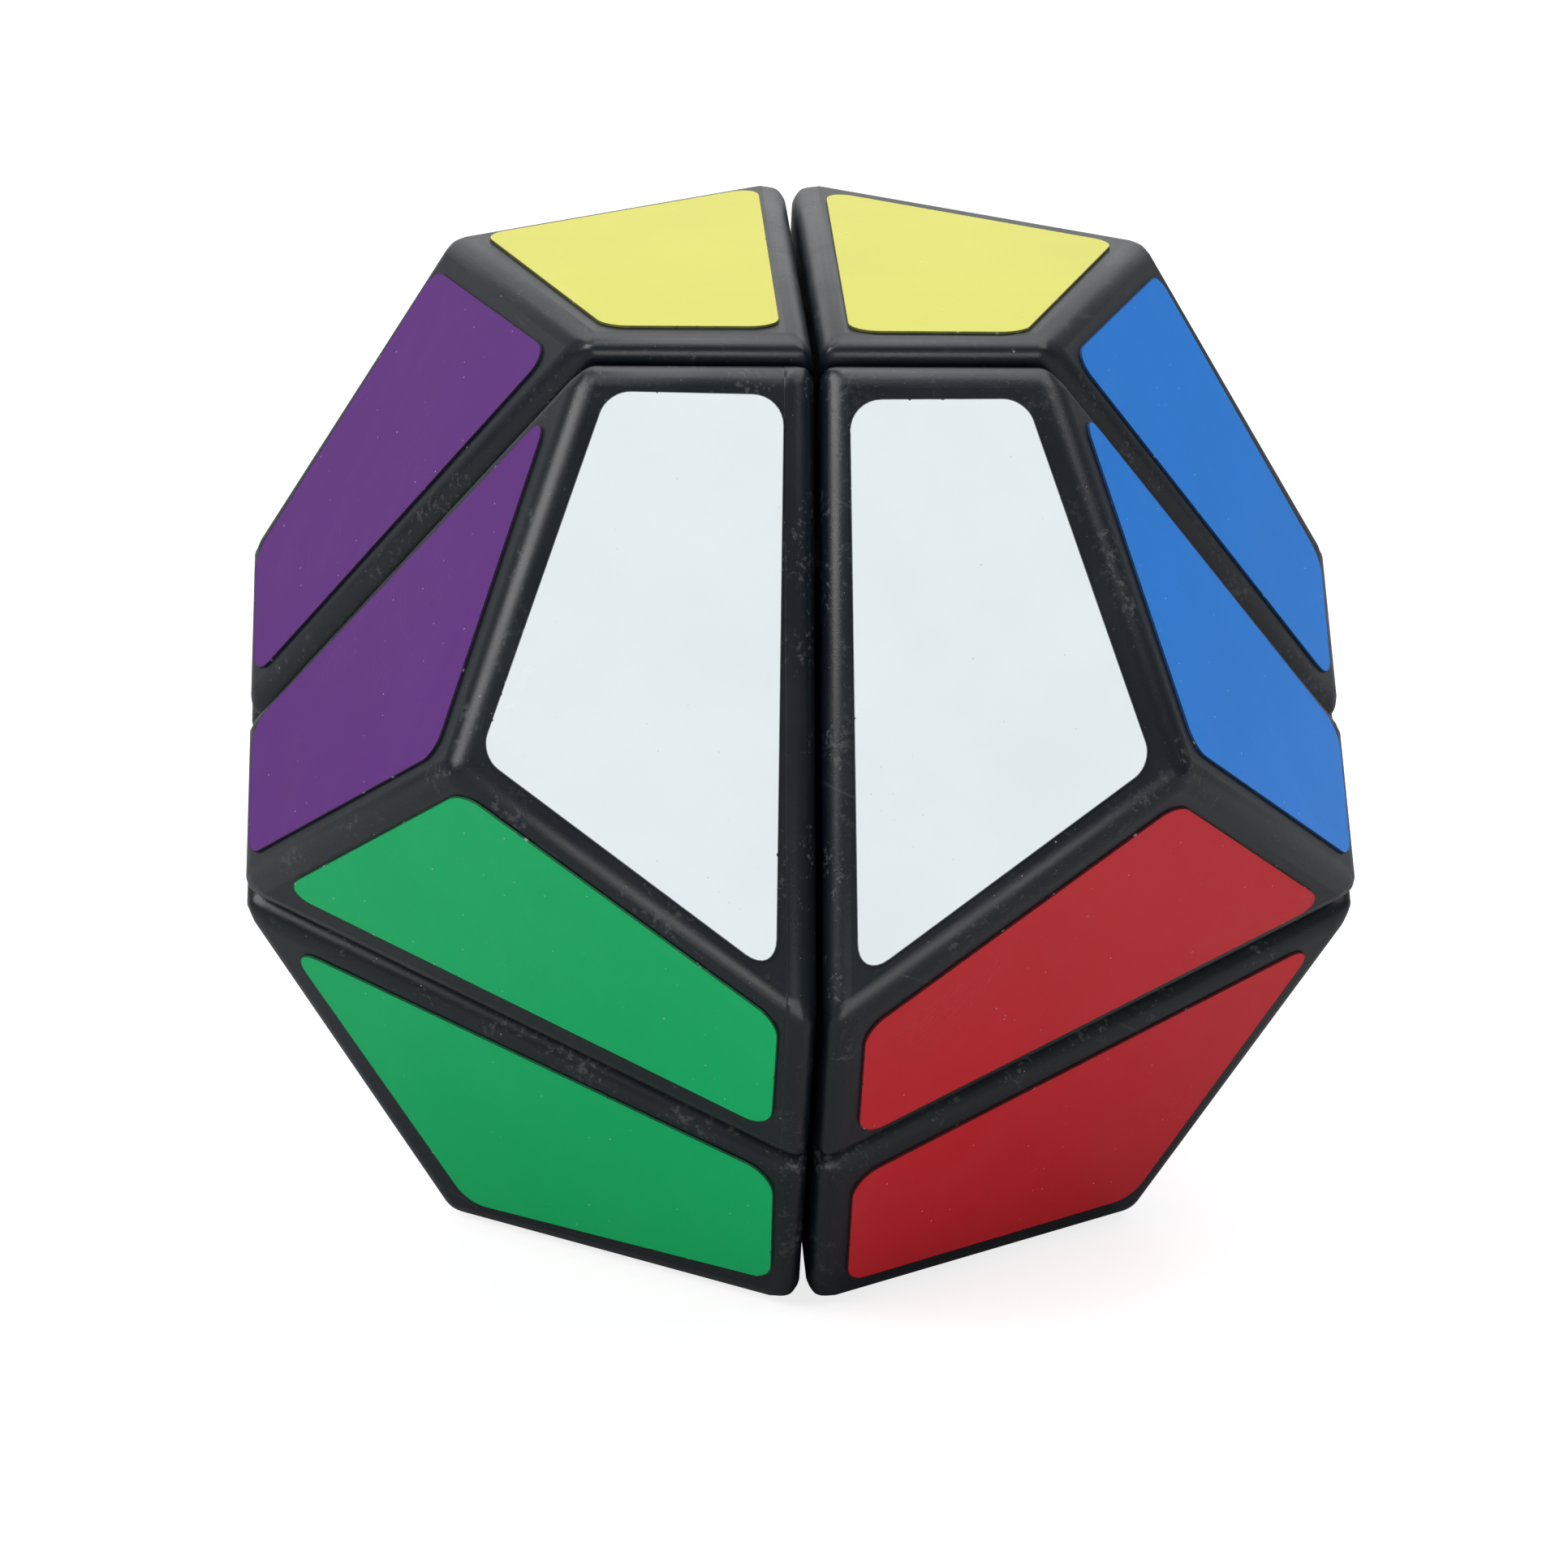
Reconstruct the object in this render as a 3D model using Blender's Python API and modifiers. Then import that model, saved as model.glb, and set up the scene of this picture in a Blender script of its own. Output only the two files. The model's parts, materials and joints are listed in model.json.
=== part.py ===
"""A dodecahedron twisty puzzle that stands on one face.

Three planes at right angles through the centre cut the dodecahedron into eight corner pieces, and
each corner shows three half pentagons. Inside a sphere round the centre is a sprung mechanism: one
corner is screwed to the core, and the three layers that don't hold it turn on screws.

Shapes are made in the puzzle's own frame, whose axes are the three turning axes: +x is right, +y is
upper and +z is front. The puzzle_frame empty, at the centre of the puzzle, stands it on its face.
"""

import math

import bmesh
import bpy
from mathutils import Euler, Matrix, Vector

# Driving dimensions, in metres
EDGE = 0.030  # side of each pentagon, measured to the sharp corners
HALF_GAP = 0.0002  # from a turning plane to the pieces on either side
WALL = 0.0018  # thickness of a corner cap
RIDGE_RADIUS = 0.0020  # rounding where two faces meet
CUT_RADIUS = 0.0018  # rounding where a face meets a turning plane squarely
LEAN_RADIUS = 0.0015  # rounding where a face meets a turning plane at a sharp angle
AXIS_RADIUS = 0.0007  # rounding where two turning planes meet
BEVEL_STEPS = 3

# From a sharp edge of the corner to the sticker
STICKER_FROM_RIDGE = 0.00204
STICKER_FROM_CUT = 0.00210
STICKER_FROM_LEAN = 0.00313
STICKER_THICKNESS = 0.00015
STICKER_CORNER = 0.0021
STICKER_TIP = 0.0013  # corner radius at the sharp end of a sticker
STICKER_STEPS = 3
GLUE = 0.00002

BALL_RADIUS = 0.008  # core ball, under the feet
FOOT_RADIUS = 0.013  # outside of the feet
SHELL_RADIUS = 0.020  # outside of the mechanism
FOOT_PLANE = 0.003  # turning plane to the feet
NECK_PLANE = 0.0055  # turning plane to the necks, above the feet
BRIDGE = 0.001  # how far a neck runs on above and below the feet's sphere
CLEARANCE = 0.0002  # half of the play between two mechanism pieces
PLUG_THICKNESS = 0.0025
PLUG_PLAY = 0.00005
SPHERE_SEGMENTS = 36

ARM_RADIUS = 0.0025
SCREW_RADIUS = 0.001
HEAD_RADIUS = 0.0024
HEAD_HEIGHT = 0.0013
HEAD_SEAT = 0.0183  # underside of a screw's head, from the centre
HEAD_CHAMFER = 0.0003
SCREW_TIP = 0.006
TIP_LENGTH = 0.0012
RECESS = (0.0030, 0.0006, 0.0007)  # length, width and depth of each slot of the cross
CUP_RADIUS = 0.0029
CUP_FLOOR = 0.0146
SHAFT_HOLE = 0.0013
PILOT_HOLE = 0.00105
PILOT_START = 0.0055
ROUND_STEPS = 24

SPRING_RADIUS = 0.00205  # to the middle of the wire
WIRE_RADIUS = 0.0003
SPRING_TURNS = 3.5
SPRING_STEPS = 12  # points in each turn
SPRING_PLAY = 0.00003

# Regular dodecahedron, from its edge
GOLDEN = (1 + math.sqrt(5)) / 2
SLOPE = 1 / GOLDEN
CUBE_HALF = GOLDEN * EDGE / 2
INRADIUS = CUBE_HALF * (1 + SLOPE) / math.sqrt(1 + SLOPE**2)
TILT = math.radians(90) + math.atan(SLOPE)
CENTRE_HEIGHT = INRADIUS + GLUE + STICKER_THICKNESS

FACES = [Vector(n).normalized() for n in ((0, 1, SLOPE), (SLOPE, 0, 1), (1, SLOPE, 0))]
AXES = [Vector((1, 0, 0)), Vector((0, 1, 0)), Vector((0, 0, 1))]
SIDES = ({-1: "left", 1: "right"}, {-1: "lower", 1: "upper"}, {-1: "back", 1: "front"})
THIRD_TURN = Matrix(((0, 0, 1), (1, 0, 0), (0, 1, 0)))  # takes each face of a corner to the next

# Which colour each face has: the two signs of its normal, in the order of the axes
FACE_COLOURS = (
    {(1, 1): "white", (1, -1): "yellow", (-1, 1): "cream", (-1, -1): "grey"},
    {(-1, 1): "green", (1, 1): "red", (1, -1): "light_green", (-1, -1): "orange"},
    {(-1, 1): "purple", (1, 1): "blue", (1, -1): "pink", (-1, -1): "light_blue"},
)
COLOURS = {
    "white": (0.80, 0.84, 0.87),
    "yellow": (0.85, 0.79, 0.20),
    "cream": (0.84, 0.78, 0.58),
    "grey": (0.30, 0.32, 0.34),
    "green": (0.02, 0.36, 0.13),
    "red": (0.46, 0.03, 0.05),
    "light_green": (0.30, 0.62, 0.12),
    "orange": (0.85, 0.22, 0.03),
    "purple": (0.15, 0.05, 0.26),
    "blue": (0.02, 0.17, 0.58),
    "pink": (0.78, 0.24, 0.40),
    "light_blue": (0.12, 0.48, 0.62),
}


def clear_scene():
    for item in list(bpy.data.objects):
        bpy.data.objects.remove(item, do_unlink=True)


def new_collection(name):
    collection = bpy.data.collections.new(name)
    bpy.context.scene.collection.children.link(collection)
    return collection


def new_material(name, colour, roughness, metallic=0.0):
    material = bpy.data.materials.new(name)
    material.use_nodes = True
    shader = material.node_tree.nodes["Principled BSDF"]
    shader.inputs["Base Color"].default_value = (*colour, 1)
    shader.inputs["Roughness"].default_value = roughness
    shader.inputs["Metallic"].default_value = metallic
    return material


def helper(name, bm):
    """A shape that is only used to make another."""
    mesh = bpy.data.meshes.new(name)
    bmesh.ops.recalc_face_normals(bm, faces=bm.faces)
    bm.to_mesh(mesh)
    bm.free()
    item = bpy.data.objects.new(name, mesh)
    item.hide_render = True
    item.display_type = "WIRE"
    cutters.objects.link(item)
    return item


def boolean(item, operation, others):
    for other in others:
        modifier = item.modifiers.new(operation.lower(), "BOOLEAN")
        modifier.operation = operation
        modifier.solver = "EXACT"
        modifier.object = other
    return item


def finished_mesh(item, name):
    """The mesh of a helper with its modifiers applied."""
    bpy.context.view_layer.update()
    graph = bpy.context.evaluated_depsgraph_get()
    mesh = bpy.data.meshes.new_from_object(item.evaluated_get(graph))
    mesh.name = name
    return mesh


def place(name, mesh, material, rotation=None, location=(0, 0, 0)):
    """One node, which shares its mesh with the others of its kind."""
    item = bpy.data.objects.new(name, mesh)
    if not mesh.materials:
        mesh.materials.append(None)
    item.material_slots[0].link = "OBJECT"
    item.material_slots[0].material = material
    item.location = location
    item.rotation_euler = (rotation or Matrix.Identity(3)).to_euler()
    item.parent = puzzle_frame
    puzzle.objects.link(item)
    return item


def mirrored(mesh):
    """The same shape through the centre, for the corners of the other hand."""
    bm = bmesh.new()
    bm.from_mesh(mesh)
    bmesh.ops.scale(bm, vec=(-1, -1, -1), verts=bm.verts)
    bmesh.ops.reverse_faces(bm, faces=bm.faces)
    copy = bpy.data.meshes.new(mesh.name + "_mirrored")
    bm.to_mesh(copy)
    bm.free()
    return copy


def cut_away(bm, point, normal, fill=True):
    """Removes what is beyond a plane and closes the cut."""
    geometry = bm.verts[:] + bm.edges[:] + bm.faces[:]
    cut = bmesh.ops.bisect_plane(
        bm, geom=geometry, plane_co=point, plane_no=normal, clear_outer=True
    )
    if fill:
        edges = [part for part in cut["geom_cut"] if isinstance(part, bmesh.types.BMEdge)]
        bmesh.ops.holes_fill(bm, edges=edges)


def setback(radius, angle):
    """How far a rounding of this radius reaches from a sharp edge of this angle."""
    return radius / math.tan(angle / 2)


# Shapes of one corner, in the octant where x, y and z are positive


def octant(cut_inset, face_inset):
    """A corner of the dodecahedron, held in from its turning planes and its faces."""
    bm = bmesh.new()
    size = 2 * CUBE_HALF
    bmesh.ops.create_cube(bm, size=size)
    bmesh.ops.translate(bm, verts=bm.verts, vec=[size / 2 + cut_inset] * 3)
    for normal in FACES:
        cut_away(bm, normal * (INRADIUS - face_inset), normal)
    return bm


def edge_radius(edge, angle):
    """Rounding of an edge, by its inside angle and how many turning planes it lies on."""
    planes = sum(min(face.normal) < -0.99 for face in edge.link_faces)
    cut_radius = LEAN_RADIUS if angle < math.radians(75) else CUT_RADIUS
    return (RIDGE_RADIUS, cut_radius, AXIS_RADIUS)[planes]


def rounded_octant():
    bm = octant(HALF_GAP, 0)
    bm.normal_update()
    weight = bm.edges.layers.float.new("bevel_weight_edge")
    widths = {}
    for edge in bm.edges:
        angle = math.pi - edge.calc_face_angle()
        widths[edge] = setback(edge_radius(edge, angle), angle)
    widest = max(widths.values())
    for edge, width in widths.items():
        edge[weight] = width / widest
    item = helper("rounded_octant", bm)
    bevel = item.modifiers.new("rounding", "BEVEL")
    bevel.limit_method = "WEIGHT"
    bevel.width = widest
    bevel.segments = BEVEL_STEPS
    return item


def sphere(name, radius, centre_cuts=()):
    """A sphere round the centre of the puzzle, cut by planes given as (normal, distance)."""
    bm = bmesh.new()
    bmesh.ops.create_uvsphere(
        bm, u_segments=SPHERE_SEGMENTS, v_segments=SPHERE_SEGMENTS // 2, radius=radius
    )
    for normal, distance in centre_cuts:
        cut_away(bm, normal * distance, normal)
    return helper(name, bm)


def shell_block(name, low, high, inner, outer):
    """What lies between two spheres and between two corners of a box."""
    bm = bmesh.new()
    size = Vector(high) - Vector(low)
    bmesh.ops.create_cube(bm, size=1)
    bmesh.ops.scale(bm, vec=size, verts=bm.verts)
    bmesh.ops.translate(bm, vec=Vector(low) + size / 2, verts=bm.verts)
    block = helper(name, bm)
    boolean(block, "INTERSECT", [sphere(name + "_outside", outer)])
    return boolean(block, "DIFFERENCE", [sphere(name + "_inside", inner)])


def cylinder(name, radius, start, end, direction):
    """A round cutter or arm that runs out from the centre."""
    bm = bmesh.new()
    bmesh.ops.create_cone(
        bm, cap_ends=True, segments=ROUND_STEPS, radius1=radius, radius2=radius, depth=end - start
    )
    bmesh.ops.translate(bm, verts=bm.verts, vec=(0, 0, (start + end) / 2))
    turn = Vector((0, 0, 1)).rotation_difference(direction).to_matrix()
    bmesh.ops.rotate(bm, verts=bm.verts, cent=(0, 0, 0), matrix=turn)
    return helper(name, bm)


def cap_mesh():
    """The visible shell of a corner, open at the back where its plug fits."""
    cap = rounded_octant()
    hollow = helper("cap_hollow", octant(HALF_GAP + WALL, WALL))
    clear = sphere("cap_back", SHELL_RADIUS + CLEARANCE)
    return finished_mesh(boolean(cap, "DIFFERENCE", [hollow, clear]), "cap")


def plug(inner):
    """The plate that closes the back of a cap."""
    low = [HALF_GAP + WALL + PLUG_PLAY] * 3
    high = [2 * SHELL_RADIUS] * 3
    return shell_block("plug", low, high, inner, SHELL_RADIUS + PLUG_THICKNESS)


def stalk_mesh():
    """A corner's plug, neck and foot."""
    foot_low = [FOOT_PLANE + CLEARANCE] * 3
    neck_low = [NECK_PLANE + CLEARANCE] * 3
    high = [2 * SHELL_RADIUS] * 3
    foot = shell_block("foot", foot_low, high, BALL_RADIUS + CLEARANCE, FOOT_RADIUS - CLEARANCE)
    neck = shell_block("neck", neck_low, high, FOOT_RADIUS - BRIDGE, SHELL_RADIUS + BRIDGE)
    body = boolean(plug(SHELL_RADIUS + CLEARANCE), "UNION", [neck, foot])
    return finished_mesh(body, "stalk")


def fixed_plug_mesh():
    """The plug of the corner that doesn't turn, which its screw holds against the core."""
    body = plug(SHELL_RADIUS - CLEARANCE + PLUG_PLAY)
    hole = cylinder("plug_hole", SHAFT_HOLE, BALL_RADIUS, 2 * SHELL_RADIUS, Vector((1, 1, 1)))
    return finished_mesh(boolean(body, "DIFFERENCE", [hole]), "fixed_plug")


def sticker_mesh():
    """The sticker on the corner's first face, with its corners rounded."""
    face = FACES[0]
    distance = INRADIUS + GLUE
    bm = bmesh.new()
    bmesh.ops.create_grid(bm, x_segments=1, y_segments=1, size=2 * CUBE_HALF)
    turn = Vector((0, 0, 1)).rotation_difference(face).to_matrix()
    bmesh.ops.rotate(bm, verts=bm.verts, cent=(0, 0, 0), matrix=turn)
    bmesh.ops.translate(bm, verts=bm.verts, vec=face * distance)
    borders = [(other, INRADIUS, STICKER_FROM_RIDGE) for other in FACES[1:]]
    borders.append((-AXES[0], -HALF_GAP, STICKER_FROM_CUT))
    borders.append((-AXES[2], -HALF_GAP, STICKER_FROM_LEAN))
    for normal, offset, inset in borders:
        outward = (normal - face * face.dot(normal)).normalized()
        to_edge = (offset - INRADIUS * face.dot(normal)) / normal.dot(outward)
        cut_away(bm, face * distance + outward * (to_edge - inset), outward, fill=False)
    outline = bm.faces[:][0]
    corners = [(loop.vert, loop.calc_angle()) for loop in outline.loops]
    for vert, angle in corners:
        radius = STICKER_TIP if angle < math.radians(60) else STICKER_CORNER
        bmesh.ops.bevel(
            bm,
            geom=[vert],
            offset=setback(radius, angle),
            affect="VERTICES",
            segments=STICKER_STEPS,
            profile=0.5,
        )
    top = bmesh.ops.extrude_face_region(bm, geom=bm.faces[:])
    lifted = [part for part in top["geom"] if isinstance(part, bmesh.types.BMVert)]
    bmesh.ops.translate(bm, verts=lifted, vec=face * STICKER_THICKNESS)
    return finished_mesh(helper("sticker", bm), "sticker")


# Shapes of the mechanism


def edge_mesh():
    """A hidden edge piece between +y and +z: its foot, its shoulders and the web between them."""
    far = 2 * SHELL_RADIUS
    foot_half, foot_low = FOOT_PLANE - CLEARANCE, FOOT_PLANE + CLEARANCE
    neck_half, neck_low = NECK_PLANE - CLEARANCE, NECK_PLANE + CLEARANCE
    foot = shell_block(
        "edge_foot",
        (-foot_half, foot_low, foot_low),
        (foot_half, far, far),
        BALL_RADIUS + CLEARANCE,
        FOOT_RADIUS - CLEARANCE,
    )
    web = shell_block(
        "edge_web",
        (-foot_half, neck_low, neck_low),
        (foot_half, far, far),
        FOOT_RADIUS - BRIDGE,
        FOOT_RADIUS + BRIDGE,
    )
    shoulders = shell_block(
        "edge_shoulders",
        (-neck_half, neck_low, neck_low),
        (neck_half, far, far),
        FOOT_RADIUS + CLEARANCE,
        SHELL_RADIUS - CLEARANCE,
    )
    return finished_mesh(boolean(shoulders, "UNION", [web, foot]), "edge")


def centre_mesh():
    """A hidden centre piece on +z, with a cup for its spring and a hole for its screw."""
    half = NECK_PLANE - CLEARANCE
    block = shell_block(
        "centre",
        (-half, -half, 0),
        (half, half, 2 * SHELL_RADIUS),
        FOOT_RADIUS + CLEARANCE,
        SHELL_RADIUS - CLEARANCE,
    )
    cup = cylinder("centre_cup", CUP_RADIUS, CUP_FLOOR, 2 * SHELL_RADIUS, AXES[2])
    hole = cylinder("centre_hole", SHAFT_HOLE, BALL_RADIUS, 2 * SHELL_RADIUS, AXES[2])
    return finished_mesh(boolean(block, "DIFFERENCE", [cup, hole]), "centre")


def core_mesh():
    """The body that the layers turn round, with its three arms."""
    outside = [(axis, NECK_PLANE - CLEARANCE) for axis in AXES]
    core = sphere("core_blank", SHELL_RADIUS - CLEARANCE, outside)
    for index, axis in enumerate(AXES):
        floor = [(-axis, -(FOOT_PLANE - CLEARANCE))]
        pocket = sphere(f"core_pocket_{index}", FOOT_RADIUS + CLEARANCE, floor)
        boolean(core, "DIFFERENCE", [pocket])
    boolean(core, "UNION", [sphere("core_ball", BALL_RADIUS - CLEARANCE)])
    for index, axis in enumerate(AXES):
        arm = cylinder(f"core_arm_{index}", ARM_RADIUS, 0, FOOT_RADIUS - CLEARANCE, axis)
        pilot = cylinder(f"core_pilot_{index}", PILOT_HOLE, PILOT_START, SHELL_RADIUS, axis)
        boolean(core, "UNION", [arm])
        boolean(core, "DIFFERENCE", [pilot])
    start = PILOT_START + SHELL_RADIUS + PLUG_THICKNESS - HEAD_SEAT
    pilot = cylinder("core_corner_pilot", PILOT_HOLE, start, 2 * SHELL_RADIUS, -Vector((1, 1, 1)))
    return finished_mesh(boolean(core, "DIFFERENCE", [pilot]), "core")


def screw_mesh():
    """A pan head screw on +z, turned from its profile, with a cross recess."""
    top = HEAD_SEAT + HEAD_HEIGHT
    profile = (
        (0, top),
        (HEAD_RADIUS - HEAD_CHAMFER, top),
        (HEAD_RADIUS, top - HEAD_CHAMFER),
        (HEAD_RADIUS, HEAD_SEAT),
        (SCREW_RADIUS, HEAD_SEAT),
        (SCREW_RADIUS, SCREW_TIP + TIP_LENGTH),
        (0, SCREW_TIP),
    )
    bm = bmesh.new()
    points = [bm.verts.new((x, 0, z)) for x, z in profile]
    for first, second in zip(points, points[1:]):
        bm.edges.new((first, second))
    screw = helper("screw", bm)
    turn = screw.modifiers.new("turned", "SCREW")
    turn.steps = turn.render_steps = ROUND_STEPS
    turn.use_merge_vertices = True
    turn.merge_threshold = 0.00001
    length, width, depth = RECESS
    slots = []
    for index, size in enumerate(((length, width, 2 * depth), (width, length, 2 * depth))):
        slot = bmesh.new()
        bmesh.ops.create_cube(slot, size=1)
        bmesh.ops.scale(slot, vec=size, verts=slot.verts)
        bmesh.ops.translate(slot, vec=(0, 0, top), verts=slot.verts)
        slots.append(helper(f"screw_slot_{index}", slot))
    return finished_mesh(boolean(screw, "DIFFERENCE", slots), "screw")


def spring_mesh():
    """A coil spring on +z, between the floor of the cup and the screw's head."""
    low = CUP_FLOOR + WIRE_RADIUS + SPRING_PLAY
    high = HEAD_SEAT - WIRE_RADIUS - SPRING_PLAY
    curve = bpy.data.curves.new("spring", "CURVE")
    curve.dimensions = "3D"
    curve.bevel_depth = WIRE_RADIUS
    curve.bevel_resolution = 1
    curve.use_fill_caps = True
    spline = curve.splines.new("POLY")
    count = round(SPRING_TURNS * SPRING_STEPS) + 1
    spline.points.add(count - 1)
    for index, point in enumerate(spline.points):
        angle = 2 * math.pi * index / SPRING_STEPS
        height = low + (high - low) * index / (count - 1)
        along = (SPRING_RADIUS * math.cos(angle), SPRING_RADIUS * math.sin(angle), height)
        point.co = (*along, 1)
    guide = bpy.data.objects.new("spring_guide", curve)
    guide.hide_render = True
    cutters.objects.link(guide)
    mesh = finished_mesh(guide, "spring")
    bm = bmesh.new()
    bm.from_mesh(mesh)
    bmesh.ops.remove_doubles(bm, verts=bm.verts, dist=0.000001)
    bmesh.ops.recalc_face_normals(bm, faces=bm.faces)
    bm.to_mesh(mesh)
    bm.free()
    bpy.data.objects.remove(guide, do_unlink=True)
    return mesh


# Placing


def half_turn(signs):
    """The half turn that takes the +++ corner, or its mirror image, to the corner of these signs."""
    odd = [i for i in range(3) if signs.count(signs[i]) == 1]
    return Matrix.Rotation(math.pi, 3, AXES[odd[0]]) if odd else Matrix.Identity(3)


def corner_name(signs):
    across, height, depth = (SIDES[i][signs[i]] for i in range(3))
    return f"{height}_{depth}_{across}"


def third_turns(count):
    """A turn about the corner's own diagonal, from its first face or from +z to another."""
    turn = Matrix.Identity(3)
    for _ in range(count):
        turn = turn @ THIRD_TURN
    return turn


def place_stickers(signs, meshes, materials):
    """A corner's three stickers. Each is on a face that the turning plane of one axis halves."""
    for index in range(3):
        first, second = (signs[i] for i in range(3) if i != index)
        colour = FACE_COLOURS[index][first, second]
        name = f"sticker_{colour}_{SIDES[index][signs[index]]}"
        turn = half_turn(signs) @ third_turns(index)
        place(name, meshes[math.prod(signs)], materials[colour], turn)


def place_corners(plastic, vinyls):
    caps = {1: cap_mesh()}
    stalks = {1: stalk_mesh()}
    films = {1: sticker_mesh()}
    for meshes in (caps, stalks, films):
        meshes[-1] = mirrored(meshes[1])
    signs_of_corners = [(x, y, z) for x in (-1, 1) for y in (-1, 1) for z in (-1, 1)]
    for signs in signs_of_corners:
        hand, name = math.prod(signs), corner_name(signs)
        place(f"cap_{name}", caps[hand], plastic, half_turn(signs))
        if signs == (-1, -1, -1):
            place(f"plug_{name}", mirrored(fixed_plug_mesh()), plastic)
        else:
            place(f"stalk_{name}", stalks[hand], plastic, half_turn(signs))
        place_stickers(signs, films, vinyls)


def place_edges(plastic):
    """The nine edge pieces that lie on at least one of the layers that turn."""
    mesh = edge_mesh()
    for free in range(3):
        first, second = (i for i in range(3) if i != free)
        for signs in ((1, 1), (1, -1), (-1, 1)):
            up, out = AXES[first] * signs[0], AXES[second] * signs[1]
            turn = Matrix((up.cross(out), up, out)).transposed()
            words = [SIDES[first][signs[0]], SIDES[second][signs[1]]]
            place("edge_" + "_".join(words), mesh, plastic, turn)


def place_hubs(plastic, steel):
    centre, screw, spring = centre_mesh(), screw_mesh(), spring_mesh()
    for index in range(3):
        name, turn = SIDES[index][1], third_turns(index + 1)
        place(f"centre_{name}", centre, plastic, turn)
        place(f"spring_{name}", spring, steel, turn)
        place(f"screw_{name}", screw, steel, turn)
    diagonal = -Vector((1, 1, 1)).normalized()
    turn = Vector((0, 0, 1)).rotation_difference(diagonal).to_matrix()
    lift = SHELL_RADIUS + PLUG_THICKNESS + PLUG_PLAY - HEAD_SEAT
    place("screw_fixed_corner", screw, steel, turn, diagonal * lift)


def drop_helpers():
    for item in list(cutters.objects):
        bpy.data.objects.remove(item, do_unlink=True)
    bpy.data.collections.remove(cutters)


clear_scene()
puzzle = new_collection("dodecahedron_puzzle")
cutters = new_collection("cutters")
puzzle_frame = bpy.data.objects.new("puzzle_frame", None)
puzzle_frame.location = (0, 0, CENTRE_HEIGHT)
puzzle_frame.rotation_euler = Euler((TILT, 0, 0))
puzzle.objects.link(puzzle_frame)

black = new_material("black_plastic", (0.010, 0.014, 0.017), 0.38)
ivory = new_material("core_plastic", (0.62, 0.60, 0.54), 0.45)
steel = new_material("steel", (0.56, 0.57, 0.58), 0.30, 1.0)
vinyls = {name: new_material(f"sticker_{name}", colour, 0.30) for name, colour in COLOURS.items()}

place_corners(black, vinyls)
place_edges(black)
place_hubs(black, steel)
place("core", core_mesh(), ivory)
drop_helpers()
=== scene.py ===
# Dodecahedron twisty puzzle: looks and finishes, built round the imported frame.
import json
import math
import random

import bmesh
import bpy
from mathutils import Matrix, Vector

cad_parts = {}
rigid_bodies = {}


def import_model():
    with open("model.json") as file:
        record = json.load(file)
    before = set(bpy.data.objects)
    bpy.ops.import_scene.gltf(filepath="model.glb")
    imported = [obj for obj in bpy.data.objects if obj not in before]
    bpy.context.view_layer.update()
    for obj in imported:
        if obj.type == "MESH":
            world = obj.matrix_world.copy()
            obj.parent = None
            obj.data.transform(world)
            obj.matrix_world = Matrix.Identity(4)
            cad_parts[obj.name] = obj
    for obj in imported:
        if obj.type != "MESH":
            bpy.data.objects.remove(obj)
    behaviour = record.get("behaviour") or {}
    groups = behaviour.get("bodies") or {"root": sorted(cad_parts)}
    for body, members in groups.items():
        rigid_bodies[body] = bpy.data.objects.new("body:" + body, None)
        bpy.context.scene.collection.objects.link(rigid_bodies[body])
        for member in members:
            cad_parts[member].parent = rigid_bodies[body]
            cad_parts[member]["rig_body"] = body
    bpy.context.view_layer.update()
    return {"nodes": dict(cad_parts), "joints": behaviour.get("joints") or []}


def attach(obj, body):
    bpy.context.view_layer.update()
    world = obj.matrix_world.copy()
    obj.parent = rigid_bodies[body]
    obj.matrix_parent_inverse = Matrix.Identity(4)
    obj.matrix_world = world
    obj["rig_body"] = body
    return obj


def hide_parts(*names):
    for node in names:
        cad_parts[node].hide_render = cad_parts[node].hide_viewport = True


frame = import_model()
mm = 0.001

joints = {joint["name"]: joint for joint in frame["joints"]}
turnAxes = [Vector(joints[name]["axis"]) for name in ("turn_right", "turn_upper", "turn_front")]
puzzleCentre = Vector(joints["turn_right"]["pos_m"])
# the puzzle's own frame, whose axes are the three turning axes
toWorld = Matrix(turnAxes).transposed().to_4x4()
toWorld.translation = puzzleCentre

sides = ({-1: "left", 1: "right"}, {-1: "lower", 1: "upper"}, {-1: "back", 1: "front"})
faceColours = (
    {(1, 1): "white", (1, -1): "yellow", (-1, 1): "cream", (-1, -1): "grey"},
    {(-1, 1): "green", (1, 1): "red", (1, -1): "light_green", (-1, -1): "orange"},
    {(-1, 1): "purple", (1, 1): "blue", (1, -1): "pink", (-1, -1): "light_blue"},
)
corners = [(x, y, z) for x in (-1, 1) for y in (-1, 1) for z in (-1, 1)]


def feed(tree, socket, value):
    # joins a socket to another node's output, or sets its value
    if isinstance(value, bpy.types.NodeSocket):
        tree.links.new(value, socket)
    else:
        socket.default_value = value


def addNode(tree, kind, inputs=None, **settings):
    node = tree.nodes.new(kind)
    for key, value in settings.items():
        setattr(node, key, value)
    for key, value in (inputs or {}).items():
        feed(tree, node.inputs[key], value)
    return node


def mathNode(tree, operation, first, second, clamp=False):
    inputs = {0: first, 1: second}
    return addNode(tree, "ShaderNodeMath", inputs, operation=operation, use_clamp=clamp).outputs[0]


def times(tree, first, second, clamp=False):
    return mathNode(tree, "MULTIPLY", first, second, clamp)


def plus(tree, first, second, clamp=False):
    return mathNode(tree, "ADD", first, second, clamp)


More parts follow.
